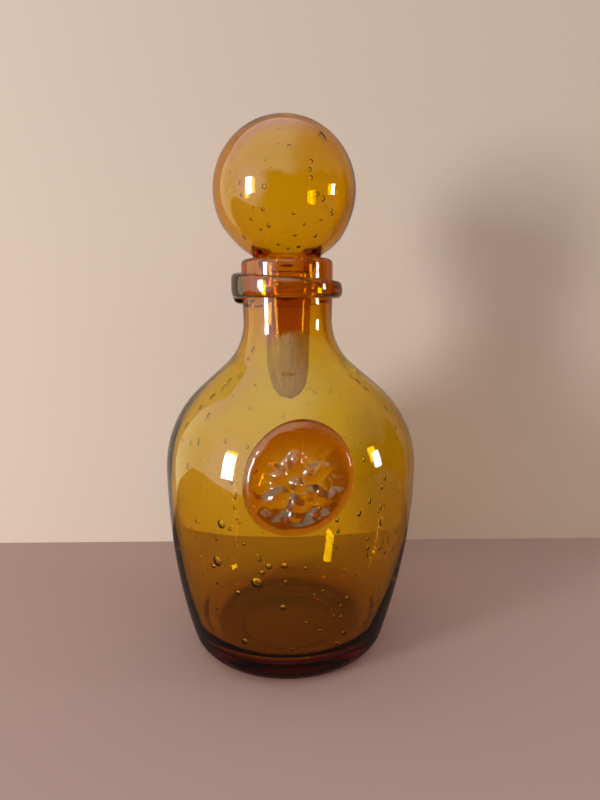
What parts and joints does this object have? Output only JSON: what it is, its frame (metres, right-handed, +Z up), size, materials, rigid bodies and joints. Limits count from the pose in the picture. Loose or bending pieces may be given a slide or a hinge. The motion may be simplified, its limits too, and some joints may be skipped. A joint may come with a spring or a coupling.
{
  "type": "genie bottle",
  "caption": "Blown amber glass decanter with a bubbled body, an applied neck ring and stamped seal, and a ball stopper whose long ground peg lifts out of the mouth.",
  "frame": {"origin": "centre of the foot, on the surface that the bottle stands on", "axes": "+Z up the bottle's axis, through the mouth and the stopper; -Y through the front, where the seal is"},
  "size_m": [0.1252, 0.1305, 0.2613],
  "materials": {
    "bottle_glass": "clear amber blown glass with seed bubbles",
    "ring_glass": "clear amber glass, fire polished",
    "seal_glass": "clear amber glass, pressed",
    "stopper_glass": "clear amber blown ball with a ground, frosted peg"
  },
  "bodies": {
    "vessel": {"bottle": "bottle_glass", "neck_ring": "ring_glass", "seal": "seal_glass"},
    "stopper": {"stopper": "stopper_glass"}
  },
  "joints": [
    {"name": "stopper_lift", "type": "slide", "parent": "vessel", "child": "stopper", "axis": [0, 0, 1], "range_m": [0, 0.085]}
  ]
}
